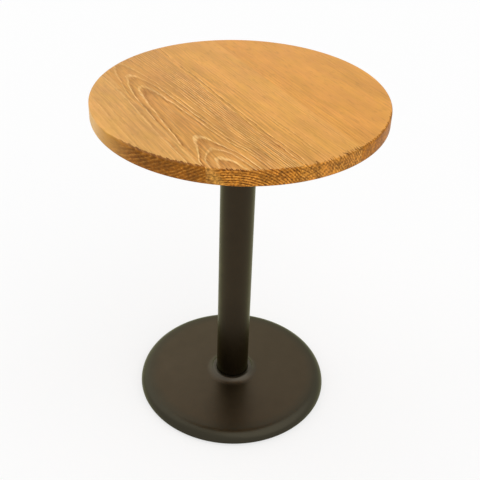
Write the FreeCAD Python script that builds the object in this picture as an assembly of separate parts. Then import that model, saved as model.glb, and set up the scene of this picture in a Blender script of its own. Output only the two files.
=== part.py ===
"""Pub table: a round top of edge-glued timber staves on a cast pedestal, sizes in millimetres.

A threaded tie rod runs up the steel column and clamps the cast base, the column and the four-armed
spider into one pedestal. Wood screws hold the top on the spider. Four swivel feet level the table:
each pad stays still on the floor while its stud turns in the base. The origin is on the floor under
the column's axis, +Z points up and -Y is the side that the table is looked at from.
"""

import FreeCAD
import Part
import math
import os

# Driving dimensions of the whole table
overall_height = 766.0
top_diameter = 600.0
top_thickness = 32.0
column_diameter = 76.0
base_diameter = 450.0

# Timber top: staves glued edge to edge, then sawn round and eased along both edges.
# The glue lines lie across the grain at these shares of the diameter from the middle.
glue_line_shares = (-0.33, -0.0825, 0.147, 0.376)
stave_direction_deg = -60.0
top_edge_radius = 3.0

# Steel column
column_wall = 2.0
column_socket_clearance = 0.3

# Cast base: a shallow dish that falls from the collar to a rounded rim
base_floor_gap = 3.5
base_rim_height = 25.0
base_crown = 2.5
base_wall = 8.0
base_shoulder_radius = 24.0
base_side_draft = 3.0
base_lower_edge_radius = 3.0
base_rim_width = 16.0
base_rim_draft = 2.0
base_inner_fillet = 6.0
base_small_fillet = 1.0
collar_rise = 8.3
collar_lip_width = 8.0
collar_lip_radius = 6.0
collar_mouth_radius = 1.0
collar_flare_width = 8.0
collar_flare_fillet = 20.0
column_seat_depth = 8.3
hub_web = 10.0
hub_boss_diameter = 120.0
rib_count = 4
rib_thickness = 7.0
rib_recess = 5.5

# Levelling feet, on one circle halfway between the base's ribs
foot_count = 4
foot_rim_inset = 47.0
foot_travel = 7.0
foot_least_grip = 5.0
foot_gap = 0.3
foot_boss_diameter = 26.0
pad_diameter = 32.0
pad_top_diameter = 27.0
pad_height = 6.5
pad_floor = 2.2
pad_lip = 1.5
pad_edge_radius = 1.2
stud_diameter = 8.0
stud_thread_clearance = 0.06
stud_end_chamfer = 0.8
stud_hex_across_flats = 13.0
stud_hex_height = 2.5
stud_neck_clearance = 0.3
stud_head_diameter = 14.0
stud_head_clearance = 0.15

# Spider: the four-armed casting that carries the top
spider_hub_diameter = 110.0
spider_hub_thickness = 10.0
spider_collar_depth = 12.0
spider_collar_width = 7.0
spider_collar_fillet = 4.0
spider_small_fillet = 1.5
spider_arm_count = 4
spider_arm_reach = 206.0
spider_arm_root_width = 46.0
spider_arm_tip_width = 30.0
spider_arm_thickness = 6.0
spider_rib_thickness = 8.0
spider_rib_reach = 148.0
nut_well_diameter = 34.0
nut_well_wall = 7.0
nut_well_spare_depth = 0.5

# Wood screws, in a row along each arm
screws_per_arm = 2
screw_tip_inset = 14.0
screw_spacing = 27.0
screw_length = 26.0
screw_diameter = 4.8
screw_point_length = 5.0
screw_head_diameter = 10.0
screw_recess_span = 5.2
screw_recess_width = 1.1
screw_recess_depth = 1.4
screw_clearance = 0.12

# Tie rod with its nuts and washers
rod_diameter = 12.0
rod_hole_clearance = 0.6
rod_end_chamfer = 1.0
rod_end_stickout = 1.8
nut_bore_clearance = 0.1
nut_across_flats = 19.0
nut_corner_chamfer = 1.0
top_nut_height = 10.0
base_nut_height = 7.0
top_washer_diameter = 30.0
top_washer_thickness = 2.5
base_plate_diameter = 50.0
base_plate_thickness = 3.0
spring_washer_diameter = 21.0
spring_washer_thickness = 2.0
spring_washer_slit = 1.6

# How far a cutting shape runs past the face that it cuts, and a fused one into its neighbour
overrun = 2.0

# The most of an outline's side that the roundings at its two ends may use up together
side_use_share = 0.98

AXIS = FreeCAD.Vector(0, 0, 1)
ORIGIN = FreeCAD.Vector(0, 0, 0)
FULL_TURN = 360.0
HEX_SIDES = 6

# Radii that several pieces share
top_radius = top_diameter / 2
column_radius = column_diameter / 2
base_radius = base_diameter / 2
rod_radius = rod_diameter / 2
rod_hole_radius = rod_radius + rod_hole_clearance
socket_radius = column_radius + column_socket_clearance
collar_lip_outer = socket_radius + collar_lip_width
collar_foot_radius = collar_lip_outer + collar_flare_width

# Heights of the base and of what is clamped under it
base_edge_height = base_floor_gap + base_rim_height
base_hub_height = base_edge_height + base_crown
collar_height = base_hub_height + collar_rise
column_bottom = collar_height - column_seat_depth
hub_underside = column_bottom - hub_web
base_plate_underside = hub_underside - base_plate_thickness
spring_washer_underside = base_plate_underside - spring_washer_thickness
base_nut_underside = spring_washer_underside - base_nut_height
rod_bottom = base_nut_underside - rod_end_stickout

# Heights of the spider and of what is clamped in it
top_underside = overall_height - top_thickness
column_top = top_underside - spider_hub_thickness
arm_underside = top_underside - spider_arm_thickness
nut_well_depth = top_washer_thickness + top_nut_height + rod_end_stickout + nut_well_spare_depth
nut_well_floor = top_underside - nut_well_depth
top_nut_underside = nut_well_floor + top_washer_thickness
rod_top = top_nut_underside + top_nut_height + rod_end_stickout

# Heights of the feet, wound all the way in
stud_hex_underside = pad_height + foot_gap
stud_hex_top = stud_hex_underside + stud_hex_height
foot_boss_underside = stud_hex_top + foot_gap
stud_top = foot_boss_underside + foot_travel + foot_least_grip
stud_hole_top = stud_top + foot_gap
foot_circle_radius = base_radius - foot_rim_inset
first_foot_deg = FULL_TURN / foot_count / 2


def at(radius, height):
    """A point of an outline in the XZ plane."""
    return FreeCAD.Vector(radius, 0, height)


def rounded_wire(corners):
    """A closed wire through (point, corner radius) pairs, each corner an arc tangent to both sides.

    Two arcs that meet on a side shrink alike where that side is too short for both.
    """
    count = len(corners)
    points = [point for point, radius in corners]
    sides = [points[(index + 1) % count] - points[index] for index in range(count)]
    half_angles = [(math.pi - sides[index - 1].getAngle(sides[index])) / 2 for index in range(count)]
    reaches = [radius / math.tan(half) for (point, radius), half in zip(corners, half_angles)]
    for index in range(count):
        room = sides[index].Length * side_use_share
        wanted = reaches[index] + reaches[(index + 1) % count]
        if wanted > room:
            reaches[index] *= room / wanted
            reaches[(index + 1) % count] *= room / wanted
    starts = []
    ends = []
    edges = []
    for index in range(count):
        before = FreeCAD.Vector(sides[index - 1]).normalize() * -1
        after = FreeCAD.Vector(sides[index]).normalize()
        starts.append(points[index] + before * reaches[index])
        ends.append(points[index] + after * reaches[index])
        if reaches[index]:
            radius = reaches[index] * math.tan(half_angles[index])
            inset = radius / math.sin(half_angles[index]) - radius
            middle = points[index] + (before + after).normalize() * inset
            edges.append(Part.Arc(starts[index], middle, ends[index]).toShape())
    for index in range(count):
        edges.append(Part.LineSegment(ends[index], starts[(index + 1) % count]).toShape())
    return Part.Wire(Part.__sortEdges__(edges))


def lathe(corners):
    """A solid turned about the Z axis from a rounded outline in the XZ plane."""
    return Part.Face(rounded_wire(corners)).revolve(ORIGIN, AXIS, FULL_TURN)


def rod(radius, bottom, top):
    """A plain cylinder on the Z axis."""
    return Part.makeCylinder(radius, top - bottom, FreeCAD.Vector(0, 0, bottom))


def hexagon(across_flats, bottom, top):
    """A hexagonal prism on the Z axis."""
    corner_radius = across_flats / 2 / math.cos(math.pi / HEX_SIDES)
    first_corner = FreeCAD.Vector(corner_radius, 0, bottom)
    corners = []
    for index in range(HEX_SIDES + 1):
        turn = FreeCAD.Rotation(AXIS, FULL_TURN * index / HEX_SIDES)
        corners.append(turn.multVec(first_corner))
    return Part.Face(Part.makePolygon(corners)).extrude(AXIS * (top - bottom))


def wall(outline, thickness):
    """A flat wall: an outline in the XZ plane, thickened evenly to both sides of that plane."""
    face = Part.Face(Part.makePolygon(outline + outline[:1]))
    return moved(face, 0, -thickness / 2).extrude(FreeCAD.Vector(0, thickness, 0))


def moved(shape, x, y=0):
    """A copy of a shape, shifted level."""
    copy = shape.copy()
    copy.translate(FreeCAD.Vector(x, y, 0))
    return copy


def turned(shape, angle_deg):
    """A copy of a shape, turned about the table's axis."""
    copy = shape.copy()
    copy.rotate(ORIGIN, AXIS, angle_deg)
    return copy


def around(shape, count, first_deg=0.0):
    """Copies of a shape, evenly spaced about the table's axis."""
    return [turned(shape, first_deg + FULL_TURN * index / count) for index in range(count)]


def base_top_height(radius):
    """Height of the base's upper face, which falls evenly from the collar's foot to the rim."""
    fall_share = (radius - collar_foot_radius) / (base_radius - collar_foot_radius)
    return base_hub_height - base_crown * fall_share


def make_base():
    """Cast base: a shallow dish with a collar for the column, ribs and drilled foot bosses."""
    shoulder = base_radius - base_side_draft
    rim_inner = base_radius - base_rim_width
    rim_inner_top = rim_inner - base_rim_draft
    rim_plate_underside = base_top_height(rim_inner_top) - base_wall
    hub_boss_radius = hub_boss_diameter / 2
    hub_plate_underside = base_top_height(hub_boss_radius) - base_wall
    dish = lathe([
        (at(rod_hole_radius, hub_underside), 0),
        (at(rod_hole_radius, column_bottom), 0),
        (at(socket_radius, column_bottom), 0),
        (at(socket_radius, collar_height), collar_mouth_radius),
        (at(collar_lip_outer, collar_height), collar_lip_radius),
        (at(collar_foot_radius, base_hub_height), collar_flare_fillet),
        (at(shoulder, base_top_height(shoulder)), base_shoulder_radius),
        (at(base_radius, base_floor_gap), base_lower_edge_radius),
        (at(rim_inner, base_floor_gap), base_small_fillet),
        (at(rim_inner_top, rim_plate_underside), base_inner_fillet),
        (at(hub_boss_radius, hub_plate_underside), base_small_fillet),
        (at(hub_boss_radius, hub_underside), base_small_fillet),
    ])
    rib_start = hub_boss_radius - overrun
    rib_end = rim_inner + overrun
    rib_underside = base_floor_gap + rib_recess
    rib = wall([
        at(rib_start, rib_underside),
        at(rib_end, rib_underside),
        at(rib_end, base_top_height(rib_end) - base_wall / 2),
        at(rib_start, base_top_height(rib_start) - base_wall / 2),
    ], rib_thickness)
    boss_top = base_top_height(foot_circle_radius) - base_wall / 2
    boss = moved(rod(foot_boss_diameter / 2, foot_boss_underside, boss_top), foot_circle_radius)
    hole_radius = stud_diameter / 2 + stud_thread_clearance
    hole = moved(rod(hole_radius, foot_boss_underside - overrun, stud_hole_top), foot_circle_radius)
    casting = dish.fuse(around(rib, rib_count) + around(boss, foot_count, first_foot_deg))
    return casting.cut(around(hole, foot_count, first_foot_deg)).removeSplitter()


def make_column():
    """Round steel tube, cut square at both ends."""
    bore = rod(column_radius - column_wall, column_bottom - overrun, column_top + overrun)
    return rod(column_radius, column_bottom, column_top).cut(bore)


def make_pad():
    """Moulded foot pad with a hollow that the stud's head swivels in."""
    hollow_radius = stud_head_diameter / 2 + stud_head_clearance
    neck_radius = stud_diameter / 2 + stud_neck_clearance
    hollow_top = pad_height - pad_lip
    return lathe([
        (at(0, 0), 0),
        (at(pad_diameter / 2, 0), pad_edge_radius),
        (at(pad_top_diameter / 2, pad_height), pad_edge_radius),
        (at(neck_radius, pad_height), 0),
        (at(neck_radius, hollow_top), 0),
        (at(hollow_radius, hollow_top), 0),
        (at(hollow_radius, pad_floor), 0),
        (at(0, pad_floor), 0),
    ])


def make_stud():
    """Steel stud: a flat swivel head, a hexagon for the spanner and a threaded shank."""
    head_radius = stud_head_diameter / 2
    head_bottom = pad_floor + stud_head_clearance
    head_top = pad_height - pad_lip - stud_head_clearance
    shank_radius = stud_diameter / 2
    shank = lathe([
        (at(0, head_bottom), 0),
        (at(head_radius, head_bottom), 0),
        (at(head_radius, head_top), 0),
        (at(shank_radius, head_top), 0),
        (at(shank_radius, stud_top - stud_end_chamfer), 0),
        (at(shank_radius - stud_end_chamfer, stud_top), 0),
        (at(0, stud_top), 0),
    ])
    return shank.fuse(hexagon(stud_hex_across_flats, stud_hex_underside, stud_hex_top))


def make_feet():
    """Pads and studs, one of each at every place on the foot circle."""
    pads = around(moved(make_pad(), foot_circle_radius), foot_count, first_foot_deg)
    studs = around(moved(make_stud(), foot_circle_radius), foot_count, first_foot_deg)
    feet = {}
    for number, (pad, stud) in enumerate(zip(pads, studs), start=1):
        feet[f"foot_pad_{number}"] = pad
        feet[f"foot_stud_{number}"] = stud
    return feet


def screw_form(clearance):
    """A countersunk wood screw, or with a clearance the hole that it fits."""
    head_radius = screw_head_diameter / 2 + clearance
    shank_radius = screw_diameter / 2 + clearance
    tip = arm_underside + screw_length + clearance
    return lathe([
        (at(0, arm_underside), 0),
        (at(head_radius, arm_underside), 0),
        (at(shank_radius, arm_underside + head_radius - shank_radius), 0),
        (at(shank_radius, tip - screw_point_length), 0),
        (at(0, tip), 0),
    ])


def on_all_arms(shape):
    """Copies of a shape at every screw's place."""
    copies = []
    for index in range(screws_per_arm):
        place = spider_arm_reach - screw_tip_inset - screw_spacing * index
        copies += around(moved(shape, place), spider_arm_count)
    return copies


def make_screws():
    """All the wood screws, each with a cross recess in its head."""
    slot = Part.makeBox(
        screw_recess_span,
        screw_recess_width,
        screw_recess_depth + overrun,
        FreeCAD.Vector(-screw_recess_span / 2, -screw_recess_width / 2, arm_underside - overrun),
    )
    screw = screw_form(0).cut([slot, turned(slot, FULL_TURN / 4)])
    return Part.makeCompound(on_all_arms(screw))


def make_spider():
    """Cast spider: a hub with a nut well and a collar for the column, and four ribbed arms."""
    hub_radius = spider_hub_diameter / 2
    well_radius = nut_well_diameter / 2
    well_outer = well_radius + nut_well_wall
    well_underside = nut_well_floor - nut_well_wall
    collar_outer = socket_radius + spider_collar_width
    collar_underside = column_top - spider_collar_depth
    hub = lathe([
        (at(rod_hole_radius, well_underside), 0),
        (at(rod_hole_radius, nut_well_floor), 0),
        (at(well_radius, nut_well_floor), 0),
        (at(well_radius, top_underside), 0),
        (at(hub_radius, top_underside), 0),
        (at(hub_radius, column_top), spider_small_fillet),
        (at(collar_outer, column_top), spider_collar_fillet),
        (at(collar_outer, collar_underside), spider_small_fillet),
        (at(socket_radius, collar_underside), spider_small_fillet),
        (at(socket_radius, column_top), 0),
        (at(well_outer, column_top), 0),
        (at(well_outer, well_underside), spider_small_fillet),
    ])
    arm_start = hub_radius - overrun * 2
    root = spider_arm_root_width / 2
    tip = spider_arm_tip_width / 2
    tip_radius = tip - spider_small_fillet
    arm_outline = rounded_wire([
        (FreeCAD.Vector(arm_start, -root, arm_underside), 0),
        (FreeCAD.Vector(spider_arm_reach, -tip, arm_underside), tip_radius),
        (FreeCAD.Vector(spider_arm_reach, tip, arm_underside), tip_radius),
        (FreeCAD.Vector(arm_start, root, arm_underside), 0),
    ])
    arm = Part.Face(arm_outline).extrude(AXIS * spider_arm_thickness)
    rib_start = collar_outer - overrun
    rib_top = arm_underside + spider_arm_thickness / 2
    rib = wall([
        at(rib_start, collar_underside + spider_small_fillet),
        at(rib_start, rib_top),
        at(spider_rib_reach, rib_top),
        at(spider_rib_reach, arm_underside),
    ], spider_rib_thickness)
    casting = hub.fuse(around(arm, spider_arm_count) + around(rib, spider_arm_count))
    return casting.cut(on_all_arms(screw_form(screw_clearance))).removeSplitter()


def make_staves():
    """The round top, sawn along its glue lines into separate staves."""
    disc = lathe([
        (at(0, top_underside), 0),
        (at(top_radius, top_underside), top_edge_radius),
        (at(top_radius, overall_height), top_edge_radius),
        (at(0, overall_height), 0),
    ])
    pilot_holes = on_all_arms(screw_form(screw_clearance))
    glue_lines = [share * top_diameter for share in glue_line_shares]
    near_sides = [-top_radius - overrun] + glue_lines
    far_sides = glue_lines + [top_radius + overrun]
    across_deg = stave_direction_deg + FULL_TURN / 4
    staves = {}
    for number, (near, far) in enumerate(zip(near_sides, far_sides), start=1):
        plank = Part.makeBox(
            far - near,
            top_diameter + 2 * overrun,
            top_thickness + 2 * overrun,
            FreeCAD.Vector(near, -top_radius - overrun, top_underside - overrun),
        )
        staves[f"top_stave_{number}"] = disc.common(turned(plank, across_deg)).cut(pilot_holes)
    return staves


def make_tie_rod():
    """Threaded rod from under the base up into the spider's nut well."""
    end_radius = rod_radius - rod_end_chamfer
    return lathe([
        (at(0, rod_bottom), 0),
        (at(end_radius, rod_bottom), 0),
        (at(rod_radius, rod_bottom + rod_end_chamfer), 0),
        (at(rod_radius, rod_top - rod_end_chamfer), 0),
        (at(end_radius, rod_top), 0),
        (at(0, rod_top), 0),
    ])


def rod_bore(bottom, top):
    """The hole through a nut or washer that the tie rod passes."""
    return rod(rod_radius + nut_bore_clearance, bottom - overrun, top + overrun)


def make_washer(diameter, bottom, thickness):
    """A flat washer on the tie rod."""
    top = bottom + thickness
    return rod(diameter / 2, bottom, top).cut(rod_bore(bottom, top))


def make_spring_washer():
    """A split lock washer, pressed flat."""
    whole = make_washer(spring_washer_diameter, spring_washer_underside, spring_washer_thickness)
    slit = Part.makeBox(
        spring_washer_diameter,
        spring_washer_slit,
        spring_washer_thickness + 2 * overrun,
        FreeCAD.Vector(0, -spring_washer_slit / 2, spring_washer_underside - overrun),
    )
    return whole.cut(slit)


def make_nut(bottom, height):
    """A hexagon nut on the tie rod, its corners turned off at both faces."""
    top = bottom + height
    corner_radius = nut_across_flats / 2 / math.cos(math.pi / HEX_SIDES)
    face_radius = corner_radius - nut_corner_chamfer
    chamfer_height = nut_corner_chamfer / 2
    blank = lathe([
        (at(0, bottom), 0),
        (at(face_radius, bottom), 0),
        (at(corner_radius, bottom + chamfer_height), 0),
        (at(corner_radius, top - chamfer_height), 0),
        (at(face_radius, top), 0),
        (at(0, top), 0),
    ])
    return hexagon(nut_across_flats, bottom, top).common(blank).cut(rod_bore(bottom, top))


def make_table():
    """Every piece of the table by its name, from the floor up."""
    pieces = make_feet()
    pieces["base_casting"] = make_base()
    pieces["base_plate_washer"] = make_washer(base_plate_diameter, base_plate_underside, base_plate_thickness)
    pieces["base_spring_washer"] = make_spring_washer()
    pieces["base_clamp_nut"] = make_nut(base_nut_underside, base_nut_height)
    pieces["column_tube"] = make_column()
    pieces["tie_rod"] = make_tie_rod()
    pieces["top_spider"] = make_spider()
    pieces["top_clamp_washer"] = make_washer(top_washer_diameter, nut_well_floor, top_washer_thickness)
    pieces["top_clamp_nut"] = make_nut(top_nut_underside, top_nut_height)
    pieces["spider_screws"] = make_screws()
    pieces.update(make_staves())
    return pieces


os.makedirs("parts", exist_ok=True)
for name, shape in make_table().items():
    shape.exportStep(os.path.join("parts", name + ".step"))
    print(name, len(shape.Solids), "solid(s)", round(shape.Volume), "mm3", shape.isValid())
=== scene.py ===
"""Pub table with a round timber top on a cast pedestal: its looks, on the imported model's frame."""
import math
from dataclasses import dataclass
from types import SimpleNamespace

import bmesh
import bpy
from mathutils import Matrix, Vector


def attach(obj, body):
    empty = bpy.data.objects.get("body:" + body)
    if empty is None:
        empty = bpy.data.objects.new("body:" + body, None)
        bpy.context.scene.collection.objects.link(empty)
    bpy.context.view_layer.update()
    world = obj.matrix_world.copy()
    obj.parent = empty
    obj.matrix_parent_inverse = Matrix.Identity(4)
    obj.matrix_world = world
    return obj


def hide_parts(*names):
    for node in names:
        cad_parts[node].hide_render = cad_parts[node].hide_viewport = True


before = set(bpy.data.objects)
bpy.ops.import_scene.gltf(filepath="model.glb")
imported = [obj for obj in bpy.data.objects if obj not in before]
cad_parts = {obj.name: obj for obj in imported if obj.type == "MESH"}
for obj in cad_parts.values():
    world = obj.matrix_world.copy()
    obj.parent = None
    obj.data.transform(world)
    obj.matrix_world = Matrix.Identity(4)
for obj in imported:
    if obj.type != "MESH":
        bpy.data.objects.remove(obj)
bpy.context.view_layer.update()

# Base casting
# The heavy round foot of the table: one iron casting, a shallow dish with a collar for the column, ribs
# and foot bosses underneath. It is sand cast, ground smooth and powder coated a bronze black.
MM = 0.001
base_radius = 225.0
base_draft = 3.0
base_hub_height = 31.0
shoulder_height = 28.54
shoulder_rounding = 24.0
rim_clearance = 3.5
rim_foot_rounding = 3.0
rim_foot_inside = 209.0
hollow_radius = 207.0
hollow_rounding = 6.0
hollow_height_at_rim = 20.76
hollow_height_at_seat = 22.92
washer_seat_radius = 60.0
washer_seat_height = 21.0
rod_hole_radius = 6.6
collar_bore = 38.3
collar_height = 39.3
collar_lip_radius = 46.3
collar_lip_rounding = 6.0
collar_foot_radius = 54.3
collar_foot_rounding = 20.0
broken_edge = 1.0
foot_count = 4
foot_circle = 178.0
foot_first_angle = math.radians(45.0)

# A noise runs from 0 to 1: most of its values lie in its core, and nearly all of them in its span
noise_core = (0.36, 0.64)
noise_span = (0.3, 0.7)


def linear(hex_colour):
    """An sRGB hex colour as linear red, green, blue and alpha."""
    parts = [int(hex_colour[i:i + 2], 16) / 255 for i in (1, 3, 5)]
    return [c / 12.92 if c <= 0.04045 else ((c + 0.055) / 1.055) ** 2.4 for c in parts] + [1.0]


def node(tree, kind, inputs=(), **settings):
    """Adds a node: settings are its properties, inputs its sockets' values, by name or in order.

    An output given as a value is linked, and so is a node, by the first of its outputs that is in use.
    """
    made = tree.nodes.new(kind)
    for name, value in settings.items():
        setattr(made, name, value)
    if isinstance(inputs, dict):
        filled = [(made.inputs[name], value) for name, value in inputs.items()]
    else:
        filled = zip([socket for socket in made.inputs if socket.enabled], inputs)
    for socket, value in filled:
        if isinstance(value, bpy.types.Node):
            value = next(output for output in value.outputs if output.enabled)
        if isinstance(value, bpy.types.NodeSocket):
            tree.links.new(value, socket)
        else:
            socket.default_value = value
    return made


def rounded_outline(corners, arc_steps=8, longest_run=8.0):
    """A closed outline in mm through (radius, height, rounding) corners, its roundings as short chords."""
    most_of_side = 0.98
    count = len(corners)
    points = [Vector(corner[:2]) for corner in corners]
    sides = [points[(i + 1) % count] - points[i] for i in range(count)]
    halves = [(math.pi - sides[i - 1].angle(sides[i])) / 2 for i in range(count)]
    reaches = [corner[2] / math.tan(half) for corner, half in zip(corners, halves)]
    for i in range(count):
        wanted = reaches[i] + reaches[(i + 1) % count]
        room = sides[i].length * most_of_side
        if wanted > room:
            reaches[i] *= room / wanted
            reaches[(i + 1) % count] *= room / wanted
    outline = []
    for i in range(count):
        before = -sides[i - 1].normalized()
        after = sides[i].normalized()
        start = points[i] + before * reaches[i]
        end = points[i] + after * reaches[i]
        if reaches[i] > 0:
            radius = reaches[i] * math.tan(halves[i])
            centre = points[i] + (before + after).normalized() * (radius / math.sin(halves[i]))
            first = start - centre
            last = end - centre
            sweep = math.atan2(first.x * last.y - first.y * last.x, first.dot(last))
            for step in range(arc_steps + 1):
                outline.append(centre + Matrix.Rotation(sweep * step / arc_steps, 2) @ first)
        else:
            outline.append(points[i])
        following = points[(i + 1) % count] - after * reaches[(i + 1) % count]
        pieces = math.ceil((following - end).length / longest_run)
        for piece in range(1, pieces):
            outline.append(end.lerp(following, piece / pieces))
    return outline


def ring_of_points(made, height, radius_at, steps):
    """A level ring of points about the Z axis, with its height and its radius at each angle in mm."""
    ring = []
    for step in range(steps):
        angle = math.tau * step / steps
        reach = radius_at(angle) * MM
        ring.append(made.verts.new((reach * math.cos(angle), reach * math.sin(angle), height * MM)))
    return ring


def skinned(made, rings):
    """Faces from each ring to the next, and from the last to the first. A ring may be a single point."""
    faces = []
    for near, far in zip(rings, rings[1:] + rings[:1]):
        steps = max(len(near), len(far))
        if steps == 1:
            continue
        for step in range(steps):
            corners = []
            for ring, place in ((near, step), (near, step + 1), (far, step + 1), (far, step)):
                vertex = ring[place % len(ring)]
                if vertex not in corners:
                    corners.append(vertex)
            faces.append(made.faces.new(corners))
    return faces


def crisp(mesh, angle=30.0):
    """Shades a mesh smooth, apart from its corners."""
    mesh.shade_smooth()
    mesh.set_sharp_from_angle(angle=math.radians(angle))


def turned(name, outline, steps=192):
    """A closed mesh object turned about the Z axis from an outline in mm, smooth with crisp corners."""
    on_axis = 1e-6
    made = bmesh.new()
    rings = []
    for radius, height in outline:
        rings.append(ring_of_points(made, height, lambda angle: radius, steps if radius > on_axis else 1))
    bmesh.ops.recalc_face_normals(made, faces=skinned(made, rings))
    mesh = bpy.data.meshes.new(name)
    made.to_mesh(mesh)
    made.free()
    piece = bpy.data.objects.new(name, mesh)
    bpy.context.scene.collection.objects.link(piece)
    crisp(mesh)
    return piece


def new_tree(name, **sizes):
    """A Geometry Nodes tree with a geometry socket at both ends and one named input for each size."""
    tree = bpy.data.node_groups.new(name, "GeometryNodeTree")
    tree.interface.new_socket("Geometry", in_out="INPUT", socket_type="NodeSocketGeometry")
    tree.interface.new_socket("Geometry", in_out="OUTPUT", socket_type="NodeSocketGeometry")
    for size, kind in sizes.items():
        tree.interface.new_socket(size.replace("_", " "), in_out="INPUT", socket_type="NodeSocket" + kind)
    return tree, node(tree, "NodeGroupInput").outputs


def grown(piece, tree, **sizes):
    """Runs a tree on a piece with these sizes and keeps the result as the piece's plain mesh."""
    modifier = piece.modifiers.new(tree.name, "NODES")
    modifier.node_group = tree
    for item in tree.interface.items_tree:
        key = item.name.replace(" ", "_")
        if item.in_out == "INPUT" and key in sizes:
            modifier[item.identifier] = sizes[key]
    bpy.context.view_layer.update()
    evaluated = piece.evaluated_get(bpy.context.evaluated_depsgraph_get())
    mesh = bpy.data.meshes.new_from_object(evaluated)
    piece.modifiers.remove(modifier)
    piece.data = mesh
    mesh.name = piece.name
    return piece


def bare_material(name):
    """A new material with nothing in its node tree."""
    material = bpy.data.materials.new(name)
    material.use_nodes = True
    material.node_tree.nodes.clear()
    return material


def powder_coat(name, dark, light, peel_mm, peel_depth_mm, painted_highlight_greys=()):
    """Powder coat with a bronze pigment, baked on: satin, dark, with a soft orange-peel surface.

    The last argument lists painted highlight colours: two distances from the table's axis in mm, between
    which the coat goes from its own colour to a grey standing in for the grey highlights there, and the
    grey.
    """
    cloud_mm = 60
    handled_mm = 25
    bronze_sheen = "#e9ebc8"
    material = bare_material(name)
    tree = material.node_tree
    place = node(tree, "ShaderNodeTexCoord").outputs["Object"]
    # Pigment settles unevenly, in clouds
    cloud = node(tree, "ShaderNodeTexNoise", {"Vector": place, "Scale": 1 / (cloud_mm * MM), "Detail": 3.0,
                                              "Roughness": 0.6})
    pigment = node(tree, "ShaderNodeMix", (cloud, linear(dark), linear(light)), data_type="RGBA")
    level_place = node(tree, "ShaderNodeVectorMath", (place, (1, 1, 0)), operation="MULTIPLY")
    out = node(tree, "ShaderNodeVectorMath", [level_place], operation="LENGTH")
    # Painted highlight: the coat greys over rings about the axis, for the grey highlights there
    for fresh, grey_full, grey in painted_highlight_greys:
        share = node(tree, "ShaderNodeMapRange", (out, fresh * MM, grey_full * MM))
        pigment = node(tree, "ShaderNodeMix", (share, pigment, linear(grey)), data_type="RGBA")
    # Handling leaves slightly duller patches
    handled = node(tree, "ShaderNodeTexNoise", {"Vector": place, "Scale": 1 / (handled_mm * MM),
                                                "Detail": 4.0, "Roughness": 0.65})
    satin = node(tree, "ShaderNodeMapRange", (handled, *noise_span, 0.34, 0.44))
    peel = node(tree, "ShaderNodeTexNoise", {"Vector": place, "Scale": 1 / (peel_mm * MM), "Detail": 2.0,
                                             "Roughness": 0.5})
    bump = node(tree, "ShaderNodeBump", {"Height": peel, "Strength": 0.35, "Distance": peel_depth_mm * MM})
    shader = node(tree, "ShaderNodeBsdfPrincipled", {
        "Base Color": pigment, "Metallic": 1.0, "Roughness": satin, "Specular Tint": linear(bronze_sheen),
        "Coat Weight": 0.3, "Coat Roughness": 0.3, "Coat IOR": 1.4, "Normal": bump})
    node(tree, "ShaderNodeOutputMaterial", {"Surface": shader})
    return material


# Painted highlight: the coat goes grey over the shoulder and the collar, standing in for the grey highlights
# there
shoulder_painted_highlight = (182, 210, "#343024")
collar_painted_highlight = (64, 46, "#423d34")
cast_dark = "#382e1f"
cast_light = "#413627"
coated_iron = powder_coat("bronze_black_powder_coat_on_cast_iron", dark=cast_dark, light=cast_light,
                          peel_mm=2.4, peel_depth_mm=0.12, painted_highlight_greys=(shoulder_painted_highlight, collar_painted_highlight))

base = turned("base_dish", rounded_outline([
    (rod_hole_radius, washer_seat_height, 0), (rod_hole_radius, base_hub_height, 0),
    (collar_bore, base_hub_height, 0), (collar_bore, collar_height, broken_edge),
    (collar_lip_radius, collar_height, collar_lip_rounding),
    (collar_foot_radius, base_hub_height, collar_foot_rounding),
    (base_radius - base_draft, shoulder_height, shoulder_rounding),
    (base_radius, rim_clearance, rim_foot_rounding), (rim_foot_inside, rim_clearance, broken_edge),
    (hollow_radius, hollow_height_at_rim, hollow_rounding),
    (washer_seat_radius, hollow_height_at_seat, broken_edge),
    (washer_seat_radius, washer_seat_height, broken_edge),
]))

underside, sizes = new_tree("base_underside", Count="Int", First_Angle="Float", Rib_Start="Float",
                            Rib_End="Float", Rib_Width="Float", Rib_Bottom="Float", Rib_Top="Float",
                            Foot_Circle="Float", Boss_Radius="Float", Boss_Bottom="Float",
                            Boss_Top="Float", Hole_Radius="Float", Hole_Top="Float", Coat="Material")


def between(tree, low, high):
    """The middle of two places, and the distance from one to the other."""
    both = node(tree, "ShaderNodeMath", (low, high), operation="ADD")
    middle = node(tree, "ShaderNodeMath", (both, 0.5), operation="MULTIPLY")
    span = node(tree, "ShaderNodeMath", (high, low), operation="SUBTRACT")
    return middle, span


def all_round(tree, form, count, first_angle):
    """Copies of a form, evenly spaced about the table's axis, as plain geometry."""
    points = node(tree, "GeometryNodePoints", {"Count": count})
    index = node(tree, "GeometryNodeInputIndex")
    step = node(tree, "ShaderNodeMath", (math.tau, count), operation="DIVIDE")
    angle = node(tree, "ShaderNodeMath", (index, step, first_angle), operation="MULTIPLY_ADD")
    turn = node(tree, "ShaderNodeCombineXYZ", {"Z": angle})
    copies = node(tree, "GeometryNodeInstanceOnPoints", {"Points": points, "Instance": form,
                                                         "Rotation": turn})
    return node(tree, "GeometryNodeRealizeInstances", [copies])


def upright(tree, radius, bottom, top, out):
    """A plain round bar standing at a distance from the table's axis."""
    middle, span = between(tree, bottom, top)
    bar = node(tree, "GeometryNodeMeshCylinder", {"Vertices": 48, "Radius": radius, "Depth": span})
    stand = node(tree, "ShaderNodeCombineXYZ", {"X": out, "Z": middle})
    return node(tree, "GeometryNodeTransform", {"Geometry": bar, "Translation": stand})


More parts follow.
